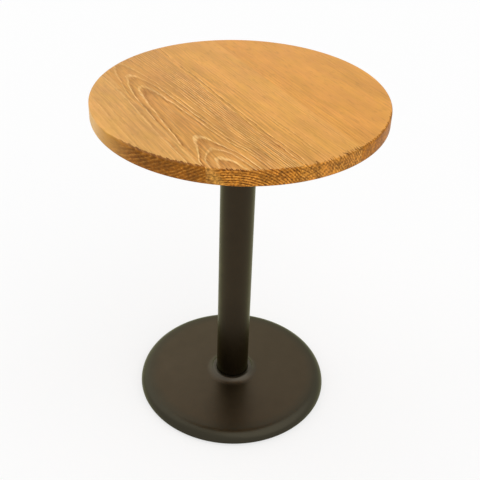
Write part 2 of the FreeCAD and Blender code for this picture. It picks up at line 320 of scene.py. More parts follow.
rib_middle, rib_height = between(underside, sizes["Rib Bottom"], sizes["Rib Top"])
rib_centre, rib_length = between(underside, sizes["Rib Start"], sizes["Rib End"])
rib_size = node(underside, "ShaderNodeCombineXYZ", (rib_length, sizes["Rib Width"], rib_height))
rib_place = node(underside, "ShaderNodeCombineXYZ", {"X": rib_centre, "Z": rib_middle})
rib = node(underside, "GeometryNodeMeshCube", {"Size": rib_size})
rib = node(underside, "GeometryNodeTransform", {"Geometry": rib, "Translation": rib_place})
ribs = all_round(underside, rib, sizes["Count"], 0.0)
boss = upright(underside, sizes["Boss Radius"], sizes["Boss Bottom"], sizes["Boss Top"],
               sizes["Foot Circle"])
bosses = all_round(underside, boss, sizes["Count"], sizes["First Angle"])
hole = upright(underside, sizes["Hole Radius"], 0.0, sizes["Hole Top"], sizes["Foot Circle"])
holes = all_round(underside, hole, sizes["Count"], sizes["First Angle"])
cast = node(underside, "GeometryNodeMeshBoolean", operation="UNION", solver="EXACT")
for form in (sizes["Geometry"], ribs.outputs[0], bosses.outputs[0]):
    underside.links.new(form, cast.inputs["Mesh 2"])
drilled = node(underside, "GeometryNodeMeshBoolean", {"Mesh 1": cast, "Mesh 2": holes},
               operation="DIFFERENCE", solver="EXACT")
whole = node(underside, "GeometryNodeRealizeInstances", [drilled])
coated = node(underside, "GeometryNodeSetMaterial", {"Geometry": whole, "Material": sizes["Coat"]})
node(underside, "NodeGroupOutput", [coated])
grown(base, underside, Count=foot_count, First_Angle=foot_first_angle, Rib_Start=58 * MM,
      Rib_End=211 * MM, Rib_Width=7 * MM, Rib_Bottom=9 * MM, Rib_Top=24 * MM,
      Foot_Circle=foot_circle * MM, Boss_Radius=13 * MM, Boss_Bottom=9.6 * MM, Boss_Top=24.8 * MM,
      Hole_Radius=4.06 * MM, Hole_Top=21.9 * MM, Coat=coated_iron)
crisp(base.data)
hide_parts("base_casting")
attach(base, "table")

# Foot pads
# Four black nylon pads that stand on the floor. Each is injection moulded and snapped over the flat head
# of its stud, so that it stays still while the stud turns.
nylon_black = "#1b1b1a"
nylon_scuffed = "#262624"
pad_radius = 16.0
pad_top_radius = 13.5
pad_height = 6.5
pad_rounding = 1.2
pad_recess_radius = 10.5
pad_recess_slope = 0.5
pad_recess_depth = 0.6
pad_recess_rounding = 0.2
pad_neck_radius = 4.3
pad_neck_rounding = 0.3
pad_hollow_radius = 7.15
pad_hollow_bottom = 2.2
pad_hollow_top = 5.0

# Nylon straight from the mould is a deep, even, matt black, and scuffs leave it paler and duller.
# Its spark-eroded texture is drawn at 0.9 mm because its real 0.2 mm grit is too fine to show.
grit_mm = 0.9
scuff_mm = 7
nylon = bare_material("moulded_black_nylon")
tree = nylon.node_tree
place = node(tree, "ShaderNodeTexCoord").outputs["Object"]
grit = node(tree, "ShaderNodeTexNoise", {"Vector": place, "Scale": 1 / (grit_mm * MM), "Detail": 3.0,
                                         "Roughness": 0.6})
scuff = node(tree, "ShaderNodeTexNoise", {"Vector": place, "Scale": 1 / (scuff_mm * MM), "Detail": 4.0,
                                          "Roughness": 0.7})
matt = node(tree, "ShaderNodeMapRange", (scuff, 0.35, 0.65, 0.5, 0.66))
shade = node(tree, "ShaderNodeMix", (scuff, linear(nylon_black), linear(nylon_scuffed)), data_type="RGBA")
bump = node(tree, "ShaderNodeBump", {"Height": grit, "Strength": 0.4, "Distance": 0.06 * MM})
shader = node(tree, "ShaderNodeBsdfPrincipled", {"Base Color": shade, "IOR": 1.53, "Roughness": matt,
                                                 "Normal": bump})
node(tree, "ShaderNodeOutputMaterial", {"Surface": shader})


def foot_place(number):
    """Where a foot stands on the foot circle."""
    angle = foot_first_angle + math.tau * (number - 1) / foot_count
    return Vector((math.cos(angle), math.sin(angle), 0)) * foot_circle * MM


for number in range(1, foot_count + 1):
    pad = turned(f"foot_pad_{number}_moulded", rounded_outline([
        (0, pad_recess_depth, 0), (pad_recess_radius, pad_recess_depth, pad_recess_rounding),
        (pad_recess_radius + pad_recess_slope, 0, pad_recess_rounding), (pad_radius, 0, pad_rounding),
        (pad_top_radius, pad_height, pad_rounding), (pad_neck_radius, pad_height, pad_neck_rounding),
        (pad_neck_radius, pad_hollow_top, 0), (pad_hollow_radius, pad_hollow_top, 0),
        (pad_hollow_radius, pad_hollow_bottom, 0), (0, pad_hollow_bottom, 0),
    ], arc_steps=5, longest_run=3.0), steps=96)
    pad.data.transform(Matrix.Translation(foot_place(number)))
    pad.data.materials.append(nylon)
    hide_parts(f"foot_pad_{number}")
    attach(pad, f"pad_{number}")

# Foot studs
# Four M8 steel studs with a flat head inside the pad and a hexagon for the spanner. They are cold headed,
# thread rolled and zinc plated, and screw up into the base's bosses.
stud_radius = 4.0
stud_top = 21.6
stud_tip_radius = 3.2
stud_tip_length = 0.8
stud_head_radius = 7.0
stud_head_bottom = 2.35
stud_head_top = 4.85
stud_head_rounding = 0.3
stud_neck_rounding = 0.2
stud_hexagon = 13.0
stud_hexagon_bottom = 6.8
stud_hexagon_top = 9.3
stud_hexagon_bore = 3.9
stud_pitch = 1.25
stud_thread_depth = 0.68
stud_thread_start = 9.9
stud_thread_inset = 0.9
rings_per_pitch = 8
zinc_bright = "#c9c8c2"
zinc_dull = "#a9a79d"


def zinc_plate(name):
    """Zinc plate with a clear passivate: a cool bright grey, faintly clouded and finely drawn."""
    cloud_mm = 5
    crystal_mm = 0.5
    material = bare_material(name)
    tree = material.node_tree
    place = node(tree, "ShaderNodeTexCoord").outputs["Object"]
    cloud = node(tree, "ShaderNodeTexNoise", {"Vector": place, "Scale": 1 / (cloud_mm * MM), "Detail": 4.0,
                                              "Roughness": 0.65})
    tone = node(tree, "ShaderNodeMix", (cloud, linear(zinc_dull), linear(zinc_bright)), data_type="RGBA")
    satin = node(tree, "ShaderNodeMapRange", (cloud, *noise_span, 0.38, 0.24))
    # The plate's crystals are drawn at 0.5 mm because the real ones, a tenth of that, are too fine to show
    crystal = node(tree, "ShaderNodeTexNoise", {"Vector": place, "Scale": 1 / (crystal_mm * MM),
                                                "Detail": 2.0})
    bump = node(tree, "ShaderNodeBump", {"Height": crystal, "Strength": 0.25, "Distance": 0.02 * MM})
    shader = node(tree, "ShaderNodeBsdfPrincipled", {"Base Color": tone, "Metallic": 1.0,
                                                     "Roughness": satin, "Normal": bump})
    node(tree, "ShaderNodeOutputMaterial", {"Surface": shader})
    return material


zinc = zinc_plate("zinc_plated_steel_fastener")

# The thread's rule: between two heights each point of the shank moves in by the thread's form, a
# triangle wave of the height left over when the helix has climbed one pitch a turn.
thread, sizes = new_tree("screw_thread", Pitch="Float", Depth="Float", Start="Float", End="Float",
                         Shank_Radius="Float", Plate="Material")
shank_slack = 0.05
spot = node(thread, "GeometryNodeInputPosition")
along_x, along_y, height = node(thread, "ShaderNodeSeparateXYZ", [spot]).outputs
angle = node(thread, "ShaderNodeMath", (along_y, along_x), operation="ARCTAN2")
lap = node(thread, "ShaderNodeMath", (angle, math.tau), operation="DIVIDE")
climb = node(thread, "ShaderNodeMath", (height, sizes["Pitch"]), operation="DIVIDE")
course = node(thread, "ShaderNodeMath", (climb, lap), operation="SUBTRACT")
flank = node(thread, "ShaderNodeMath", (course, 0.5), operation="PINGPONG")
groove = node(thread, "ShaderNodeMath", (flank, 2.0), operation="MULTIPLY")
cut = node(thread, "ShaderNodeMath", (groove, sizes["Depth"]), operation="MULTIPLY")
inward = node(thread, "ShaderNodeMath", (cut, -1.0), operation="MULTIPLY")
level_spot = node(thread, "ShaderNodeVectorMath", (spot, (1.0, 1.0, 0.0)), operation="MULTIPLY")
reach = node(thread, "ShaderNodeVectorMath", [level_spot], operation="LENGTH")
outward = node(thread, "ShaderNodeVectorMath", [level_spot], operation="NORMALIZE")
shift = node(thread, "ShaderNodeVectorMath", (outward, inward), operation="SCALE")
above = node(thread, "FunctionNodeCompare", (height, sizes["Start"]), data_type="FLOAT",
             operation="GREATER_THAN")
below = node(thread, "FunctionNodeCompare", (height, sizes["End"]), data_type="FLOAT",
             operation="LESS_THAN")
near_radius = node(thread, "FunctionNodeCompare", (reach, sizes["Shank Radius"], shank_slack * MM),
                   data_type="FLOAT", operation="EQUAL")
span = node(thread, "FunctionNodeBooleanMath", (above, below), operation="AND")
shank = node(thread, "FunctionNodeBooleanMath", (span, near_radius), operation="AND")
rolled = node(thread, "GeometryNodeSetPosition", {"Geometry": sizes["Geometry"], "Selection": shank,
                                                  "Offset": shift})
rolled = node(thread, "GeometryNodeRealizeInstances", [rolled])
plated = node(thread, "GeometryNodeSetMaterial", {"Geometry": rolled, "Material": sizes["Plate"]})
node(thread, "NodeGroupOutput", [plated])


def hexagon(piece, across_flats, bottom, top, bore, steps=120):
    """Adds a hexagonal nut form in mm to a turned piece, its corners rounded off at both faces."""
    corner_loss = 0.7
    corner_run = 0.4
    corner = across_flats / 2 / math.cos(math.pi / 6)

    def outside(limit):
        """The hexagon's radius at an angle, with its corners cut down to a limit."""
        return lambda angle: min(across_flats / 2 / math.cos(angle % (math.pi / 3) - math.pi / 6), limit)

    made = bmesh.new()
    made.from_mesh(piece.data)
    rings = []
    for height, radius_at in (
            (bottom, outside(corner - corner_loss)), (bottom + corner_run, outside(corner)),
            (top - corner_run, outside(corner)), (top, outside(corner - corner_loss)),
            (top, lambda angle: bore), (bottom, lambda angle: bore)):
        rings.append(ring_of_points(made, height, radius_at, steps))
    bmesh.ops.recalc_face_normals(made, faces=skinned(made, rings))
    made.to_mesh(piece.data)
    made.free()


for number in range(1, foot_count + 1):
    stud = turned(f"foot_stud_{number}_threaded", rounded_outline([
        (0, stud_head_bottom, 0), (stud_head_radius, stud_head_bottom, stud_head_rounding),
        (stud_head_radius, stud_head_top, stud_head_rounding),
        (stud_radius, stud_head_top, stud_neck_rounding), (stud_radius, stud_top - stud_tip_length, 0),
        (stud_tip_radius, stud_top, 0), (0, stud_top, 0),
    ], arc_steps=3, longest_run=stud_pitch / rings_per_pitch), steps=48)
    hexagon(stud, stud_hexagon, stud_hexagon_bottom, stud_hexagon_top, stud_hexagon_bore)
    grown(stud, thread, Pitch=stud_pitch * MM, Depth=stud_thread_depth * MM, Start=stud_thread_start * MM,
          End=(stud_top - stud_thread_inset) * MM, Shank_Radius=stud_radius * MM, Plate=zinc)
    crisp(stud.data)
    stud.data.transform(Matrix.Translation(foot_place(number)))
    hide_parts(f"foot_stud_{number}")
    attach(stud, f"stud_{number}")

# Column
# A round steel tube of 76 mm that stands in the base's collar. It is cut square, deburred and powder
# coated with the castings.
column_radius = 38.0
column_bore = 36.0
column_top = 724.0
column_outer_rounding = 0.5
column_inner_rounding = 0.3
# Painted shade: the castings' coat, given darker colours that stand in for the shade under the top
coated_tube = powder_coat("bronze_black_powder_coat_on_steel_tube", dark="#2d2416", light="#362c1b",
                          peel_mm=1.6, peel_depth_mm=0.06)
column = turned("column_tube_coated", rounded_outline([
    (column_bore, base_hub_height, column_inner_rounding), (column_bore, column_top, column_inner_rounding),
    (column_radius, column_top, column_outer_rounding),
    (column_radius, base_hub_height, column_outer_rounding),
], arc_steps=3, longest_run=40.0), steps=160)
column.data.materials.append(coated_tube)
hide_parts("column_tube")
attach(column, "table")

# Spider
# The four-armed iron casting under the top: a hub with a collar over the column's end and ribbed arms for
# the wood screws. It is cast and powder coated like the base, with the sand's texture left on it.
sand_iron = powder_coat("bronze_black_powder_coat_on_sand_casting", dark=cast_dark, light=cast_light,
                        peel_mm=3.2, peel_depth_mm=0.35)
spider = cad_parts["top_spider"]
spider.data.materials.clear()
spider.data.materials.append(sand_iron)

# Tie rod
# An M12 steel rod down the middle of the column that clamps base, column and spider together. It is cut
# from bar, thread rolled at both ends and zinc plated.
rod_radius = 6.0
rod_pitch = 1.75
rod_thread_depth = 0.95
rod_bottom = 7.2
rod_top = 733.5
rod_chamfer = 1.0
thread_inset = 1.1
ring_inset = 1.2
lower_thread_top = 34.0
upper_thread_bottom = 712.0
lower_length = lower_thread_top - rod_bottom
lower_rings = int(lower_length / rod_pitch * rings_per_pitch)
upper_length = rod_top - ring_inset - upper_thread_bottom
upper_rings = int((rod_top - upper_thread_bottom) / rod_pitch * rings_per_pitch)
rod_outline = [(0, rod_bottom), (rod_radius - rod_chamfer, rod_bottom),
               (rod_radius, rod_bottom + rod_chamfer)]
rod_outline += [(rod_radius, rod_bottom + ring_inset + lower_length * i / lower_rings)
                for i in range(lower_rings)]
rod_outline += [(rod_radius, upper_thread_bottom + upper_length * i / upper_rings)
                for i in range(upper_rings)]
rod_outline += [(rod_radius, rod_top - rod_chamfer), (rod_radius - rod_chamfer, rod_top), (0, rod_top)]
tie_rod = turned("tie_rod_threaded", rod_outline, steps=40)
for start, end in ((rod_bottom + thread_inset, lower_thread_top),
                   (upper_thread_bottom, rod_top - thread_inset)):
    grown(tie_rod, thread, Pitch=rod_pitch * MM, Depth=rod_thread_depth * MM, Start=start * MM,
          End=end * MM, Shank_Radius=rod_radius * MM, Plate=zinc)
crisp(tie_rod.data)
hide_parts("tie_rod")
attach(tie_rod, "table")

# Nuts and washers
# A nut and washer in the spider's well, and a plate washer, a split lock washer and a nut under the base.
# They are stamped and turned steel, zinc plated, and draw the tie rod tight.
for part_name in ("top_clamp_washer", "top_clamp_nut", "base_plate_washer", "base_spring_washer",
                  "base_clamp_nut"):
    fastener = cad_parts[part_name]
    fastener.data.materials.clear()
    fastener.data.materials.append(zinc)

# Timber top
# Five staves of ash glued edge to edge, sawn round and eased along both edges. They are stained golden,
# brushed and sprayed with satin lacquer; each stave shows its own cut of the log.
top_radius = 299.95
top_underside = 734.0
top_face = 766.0
top_easing = 3.0
across_angle = math.radians(30.0)
glue_lines = (-198.0, -49.5, 88.2, 225.6)
rim_amber = "#ca9242"


def sawn_stave(name, near, far):
    """The part of the round top that lies between two glue lines, in mm across the grain."""
    disc = turned(name, rounded_outline([
        (0, top_underside, 0), (top_radius, top_underside, top_easing), (top_radius, top_face, top_easing),
        (0, top_face, 0),
    ], arc_steps=6, longest_run=400.0), steps=720)
    across = Vector((math.cos(across_angle), math.sin(across_angle), 0))
    made = bmesh.new()
    made.from_mesh(disc.data)
    bmesh.ops.dissolve_limit(made, angle_limit=math.radians(0.2), verts=made.verts, edges=made.edges)
    for place, outward in ((near, -across), (far, across)):
        if abs(place) >= top_radius:
            continue
        sawn = bmesh.ops.bisect_plane(made, geom=made.verts[:] + made.edges[:] + made.faces[:], dist=1e-7,
                                      plane_co=across * place * MM, plane_no=outward, clear_outer=True)
        cut = [item for item in sawn["geom_cut"] if isinstance(item, bmesh.types.BMEdge)]
        bmesh.ops.edgeloop_fill(made, edges=cut)
    bmesh.ops.recalc_face_normals(made, faces=made.faces)
    made.to_mesh(disc.data)
    made.free()
    crisp(disc.data)
    return disc


@dataclass
class StaveCut:
    """How a stave was sawn from its log and stained. Places across the grain are in mm from the axis."""
    pith: tuple  # the log's middle in mm, across the grain and up
    ring_mm: float  # from one year ring to the next
    rise: tuple  # how far the rings have climbed at places along the grain, as (along, up) in mm
    wander_mm: float  # how far they stray over long stretches
    wriggle: float  # how far they stray over short ones, in rings
    figure: tuple  # how plainly they show, on the face and on the rim
    rim_years: float  # how many of them make one line of the rim
    lively_across: tuple  # between which places across the grain they fade
    creep_mm: float  # how far the rim's stain creeps over the edge
    stroke_mm: float  # how much further or less far it goes along single fibres
    fleck: float  # how strongly the open pores mark the rim
    face: tuple  # colours on the face: plain wood, a ring's pale line, its dark line
    rim: tuple  # the same on the rim
    first_year: int = 0  # picks the run of good and poor years
    sapwood: tuple = (-400, -400)  # where across the grain a band of pale outer wood leans over the rim


def grain_noise(tree, board, across_mm, along_mm, detail):
    """Noise drawn out along the grain, in cells this wide and this long."""
    stretch = (1 / across_mm, 1 / along_mm, 1 / across_mm)
    stretched = node(tree, "ShaderNodeMapping", {"Vector": board, "Scale": stretch})
    return node(tree, "ShaderNodeTexNoise", {"Vector": stretched, "Scale": 1.0, "Detail": detail})


def log_grain(tree, cut):
    """Where each spot of a stave lies in its log, and the figure that its face and rim share."""
    grain = SimpleNamespace(place=node(tree, "ShaderNodeTexCoord"))
    # Millimetres across the grain, along it and up, from the pith
    grain.board = node(tree, "ShaderNodeMapping", {
        "Vector": grain.place.outputs["Object"], "Location": (-cut.pith[0], 0, -cut.pith[1]),
        "Rotation": (0, 0, -across_angle), "Scale": (1 / MM, 1 / MM, 1 / MM)})
    grain.across, grain.along, grain.up = node(tree, "ShaderNodeSeparateXYZ", [grain.board]).outputs
    # The trunk's own unevenness, over 70 mm across and 200 mm along the grain
    wander = cut.wander_mm
    stray = grain_noise(tree, grain.board, 70, 200, detail=1.0)
    bent = node(tree, "ShaderNodeVectorMath", (stray.outputs["Color"], (wander, 0, wander), grain.board),
                operation="MULTIPLY_ADD")
    level = node(tree, "ShaderNodeMapping", {"Vector": bent, "Location": (-wander / 2, 0, -wander / 2),
                                             "Scale": (1, 0, 1)})
    girth = node(tree, "ShaderNodeVectorMath", [level], operation="LENGTH")
    # The rings' climb along the stave, from its front end to its back end
    front = cut.rise[0][0]
    back, climbed = cut.rise[-1]
    run = node(tree, "ShaderNodeMapRange", (grain.along, front, back, 0.0, 1.0))
    climb = node(tree, "ShaderNodeFloatCurve", {"Value": run})
    for along, up in cut.rise[1:-1]:
        climb.mapping.curves[0].points.new((along - front) / (back - front), up / climbed)
    climb.mapping.update()
    rising = node(tree, "ShaderNodeMath", (climb, climbed, girth), operation="MULTIPLY_ADD")
    # A small wriggle of each ring, over 10 mm across and 28 mm along
    shiver = grain_noise(tree, grain.board, 10, 28, detail=2.0)
    grown_to = node(tree, "ShaderNodeMath", (shiver, cut.wriggle * cut.ring_mm, rising),
                    operation="MULTIPLY_ADD")
    years = node(tree, "ShaderNodeMath", (grown_to, cut.ring_mm), operation="DIVIDE")
    grain.season = node(tree, "ShaderNodeMath", [years], operation="FRACT")
    rim_age = node(tree, "ShaderNodeMath", (years, cut.rim_years), operation="DIVIDE")
    grain.rim_season = node(tree, "ShaderNodeMath", [rim_age], operation="FRACT")
    # Good years leave plain rings and poor years faint ones
    whole_years = node(tree, "ShaderNodeMath", [years], operation="FLOOR")
    year = node(tree, "ShaderNodeMath", (whole_years, cut.first_year), operation="ADD")
    harvest = node(tree, "ShaderNodeTexWhiteNoise", [year], noise_dimensions="1D")
    grain.strong = node(tree, "ShaderNodeMapRange", (harvest, 0.15, 0.65, 0.12, 1.0))
    # Patches of plain and of lively figure, some 120 mm long, liveliest in front, fade to one side and back
    patch = grain_noise(tree, grain.board, 40, 120, detail=2.0)
    lively = node(tree, "ShaderNodeMapRange", (patch, 0.35, 0.6, 0.5, 1.0))
    fade_start, fade_end = (place - cut.pith[0] for place in cut.lively_across)
    grain.side_fade = node(tree, "ShaderNodeMapRange", (grain.across, fade_start, fade_end, 1.0, 0.25),
                           interpolation_type="SMOOTHSTEP")
    behind = node(tree, "ShaderNodeMapRange", (grain.along, 40.0, 230.0, 1.0, 0.45),
                  interpolation_type="SMOOTHSTEP")
    before = node(tree, "ShaderNodeMapRange", (grain.along, -220.0, -80.0, 1.3, 1.0),
                  interpolation_type="SMOOTHSTEP")
    back_fade = node(tree, "ShaderNodeMath", (behind, before), operation="MULTIPLY")
    grain.fade = node(tree, "ShaderNodeMath", (grain.side_fade, back_fade), operation="MULTIPLY")
    plainly = node(tree, "ShaderNodeMath", (grain.strong, lively), operation="MULTIPLY")
    grain.shown = node(tree, "ShaderNodeMath", (plainly, grain.fade), operation="MULTIPLY")
    # Pores lie in short rows, drawn 2.4 mm wide and 15 mm long
    grain.pores = grain_noise(tree, grain.board, 2.4, 15, detail=2.0)
    return grain


def edge_stain(tree, cut, grain):
    """Adds to a stave's grain how far its rim's stain reaches, and a painted highlight on the face by the
    front edge.
    """
    furthest = 0.87 * cut.creep_mm
    least = 0.72 * cut.creep_mm
    blur_inside = 0.8
    blur_outside = 0.6
    highlight_width = 9
    highlight_crest = 3
    fibre_way = (-math.sin(across_angle), math.cos(across_angle), 0)
    level_place = node(tree, "ShaderNodeVectorMath", (grain.place.outputs["Object"], (1, 1, 0)),
                       operation="MULTIPLY")
    # The rim drinks stain where it cuts the fibres across, and little where it runs along them
    outward = node(tree, "ShaderNodeVectorMath", [level_place], operation="NORMALIZE")
    facing = node(tree, "ShaderNodeVectorMath", (outward, fibre_way), operation="DOT_PRODUCT")
    front_end = node(tree, "ShaderNodeMapRange", (facing, 0.13, -0.36, 0.0, 1.0))
    back_end = node(tree, "ShaderNodeMapRange", (facing, 0.4, 0.75, 0.0, 1.0))
    grain.thirst = node(tree, "ShaderNodeMath", (front_end, back_end), operation="MAXIMUM")
    # Its stain creeps raggedly over the eased front edge, furthest along the rings' dark lines
    stroke = node(tree, "ShaderNodeMapRange",
                  (grain.pores, *noise_core, -cut.stroke_mm * MM, cut.stroke_mm * MM))
    cut_across = node(tree, "ShaderNodeMapRange", (facing, -0.3, -0.95, 0.3, 1.0))
    strokes = node(tree, "ShaderNodeMath", (stroke, cut_across), operation="MULTIPLY")
    toothed = node(tree, "ShaderNodeMapRange", (grain.rim_season, 0.25, 0.5, furthest * MM, least * MM))
    ragged = node(tree, "ShaderNodeMath", (strokes, toothed), operation="ADD")
    front_only = node(tree, "ShaderNodeMapRange", (grain.along, -60.0, 60.0, 1.0, 0.2))
    in_front = node(tree, "ShaderNodeMath", (ragged, front_only), operation="MULTIPLY")
    thirsty = node(tree, "ShaderNodeMapRange", (grain.thirst, 0.4, 0.9, 0.0, 1.0))
    creep = node(tree, "ShaderNodeMath", (in_front, thirsty), operation="MULTIPLY")
    out = node(tree, "ShaderNodeVectorMath", [level_place], operation="LENGTH")
    reach = node(tree, "ShaderNodeMath", (creep, out), operation="ADD")
    on_edge = node(tree, "ShaderNodeMapRange", (reach, (top_radius - blur_inside) * MM,
                                                (top_radius + blur_outside) * MM, 0.0, 1.0))
    normal = node(tree, "ShaderNodeSeparateXYZ", [grain.place.outputs["Normal"]])
    flatness = node(tree, "ShaderNodeMath", [normal.outputs["Z"]], operation="ABSOLUTE")
    on_side = node(tree, "ShaderNodeMapRange", (flatness, 0.85, 0.45, 0.0, 1.0))
    grain.on_rim = node(tree, "ShaderNodeMath", (on_side, on_edge), operation="MAXIMUM")
    # Painted highlight: the face is paler over its last 9 mm before the front edge, most where the edge runs
    # along the fibres
    edge_highlight_band = node(tree, "ShaderNodeMapRange", (out, (top_radius - highlight_width) * MM,
                                                 (top_radius - highlight_crest) * MM, 0.0, 0.2))
    front_edge_highlight = node(tree, "ShaderNodeMath", (edge_highlight_band, front_only), operation="MULTIPLY")
    cut_along = node(tree, "ShaderNodeMapRange", (grain.thirst, 0.3, 1.0, 1.0, 0.2))
    grain.rubbed = node(tree, "ShaderNodeMath", (front_edge_highlight, cut_along), operation="MULTIPLY")


def ring_colours(tree, season, stops):
    """The colours that a year ring goes through, at shares of its year."""
    ramp = node(tree, "ShaderNodeValToRGB", [season])
    ramp.color_ramp.elements.remove(ramp.color_ramp.elements[0])
    ramp.color_ramp.elements[0].position = stops[0][0]
    ramp.color_ramp.elements[0].color = linear(stops[0][1])
    for position, shade in stops[1:]:
        ramp.color_ramp.elements.new(position).color = linear(shade)
    return ramp


def face_wood(tree, cut, grain):
    """The stained face: each ring a dark and a pale line, which the pores break into dashes."""
    plain, pale, dark = cut.face
    rings = ring_colours(tree, grain.season, [(0.0, plain), (0.3, plain), (0.58, dark), (0.72, dark),
                                              (0.82, pale), (0.97, pale), (1.0, plain)])
    dashes = node(tree, "ShaderNodeMapRange", (grain.pores, *noise_core, 0.3, 1.25))
    dashed = node(tree, "ShaderNodeMath", (grain.shown, dashes), operation="MULTIPLY")
    share = node(tree, "ShaderNodeMath", (dashed, cut.figure[0]), operation="MULTIPLY")
    wood = node(tree, "ShaderNodeMix", (share, linear(plain), rings), data_type="RGBA")
    # Plain wood takes a little less stain
    glow = 1 + 0.07 * cut.figure[0]
    plain_glow = node(tree, "ShaderNodeMapRange", (grain.side_fade, 0.25, 1.0, glow, 1.0))
    # The painted highlight along the front edge adds to this
    paler = node(tree, "ShaderNodeMath", (grain.rubbed, plain_glow), operation="ADD")
    return node(tree, "ShaderNodeVectorMath", (wood, paler), operation="SCALE")


def rim_wood(tree, cut, grain):
    """The stained rim: ring ends as dark and pale lines, a band of sapwood, and flecks of open pores."""
    plain, pale, dark = cut.rim
    rings = ring_colours(tree, grain.rim_season, [(0.0, dark), (0.3, dark), (0.45, plain), (0.75, pale),
                                                  (0.92, plain), (1.0, dark)])
    broken = node(tree, "ShaderNodeMapRange", (grain.pores, 0.4, 0.6, 0.3, 1.2))
    yearly = node(tree, "ShaderNodeMapRange", (grain.strong, 0.0, 1.0, 0.35, 1.0))
    shown = node(tree, "ShaderNodeMath", (broken, yearly), operation="MULTIPLY")
    share = node(tree, "ShaderNodeMath", (shown, cut.figure[1]), operation="MULTIPLY")
    wood = node(tree, "ShaderNodeMix", (share, linear(plain), rings), data_type="RGBA")
    # The sapwood's band leans, and the wood before it is dark
    sap_lean = 0.5
    sap_blur = (-7, 4)
    dark_blur = (-3, 3)
    lean_back = sap_lean * ((top_face + top_underside) / 2 - cut.pith[1]) - cut.pith[0]
    sap_start, sap_end = (place + lean_back for place in cut.sapwood)
    outer = node(tree, "ShaderNodeMath", (grain.up, sap_lean, grain.across), operation="MULTIPLY_ADD")
    in_sap = node(tree, "ShaderNodeMapRange", (outer, sap_end + sap_blur[0], sap_end + sap_blur[1],
                                               0.75, 0.0))
    before_sap = node(tree, "ShaderNodeMapRange", (outer, sap_start + dark_blur[0], sap_start + dark_blur[1],
                                                   0.6, 0.0))
    wood = node(tree, "ShaderNodeMix", (in_sap, wood, linear(pale)), data_type="RGBA")
    wood = node(tree, "ShaderNodeMix", (before_sap, wood, linear(dark)), data_type="RGBA")
    # Open pores fleck the sawn ends, drawn 4 mm wide, and the ends drink in patches some 14 mm wide
    rag = grain_noise(tree, grain.board, 4, 14, detail=2.0)
    flecks = node(tree, "ShaderNodeMapRange", (rag, *noise_core, 1 - cut.fleck, 1 + cut.fleck))
    drunk = grain_noise(tree, grain.board, 14, 40, detail=2.0)
    mottle = node(tree, "ShaderNodeMapRange", (drunk, *noise_core, 0.8, 1.2))
    marks = node(tree, "ShaderNodeMath", (flecks, mottle), operation="MULTIPLY")
    # Painted highlight: the rim is lighter towards its lower edge and darker towards the face
    lower_edge_painted_highlight = node(tree, "ShaderNodeMapRange", (grain.up, top_underside - cut.pith[1],
                                                top_face - cut.pith[1], 1.1, 0.93))
    tone = node(tree, "ShaderNodeMath", (marks, lower_edge_painted_highlight), operation="MULTIPLY")
    wood = node(tree, "ShaderNodeVectorMath", (wood, tone), operation="SCALE")
    # Where the rim drinks less it goes from this to amber, and on to the face's pale colour
    half_drunk = node(tree, "ShaderNodeMapRange", (grain.thirst, 0.0, 0.45, 0.0, 1.0))
    half_stained = node(tree, "ShaderNodeMix", (half_drunk, linear(cut.face[1]), linear(rim_amber)),
                        data_type="RGBA")
    soaked = node(tree, "ShaderNodeMapRange", (grain.thirst, 0.45, 1.0, 0.0, 1.0))
    return node(tree, "ShaderNodeMix", (soaked, half_stained, wood), data_type="RGBA")


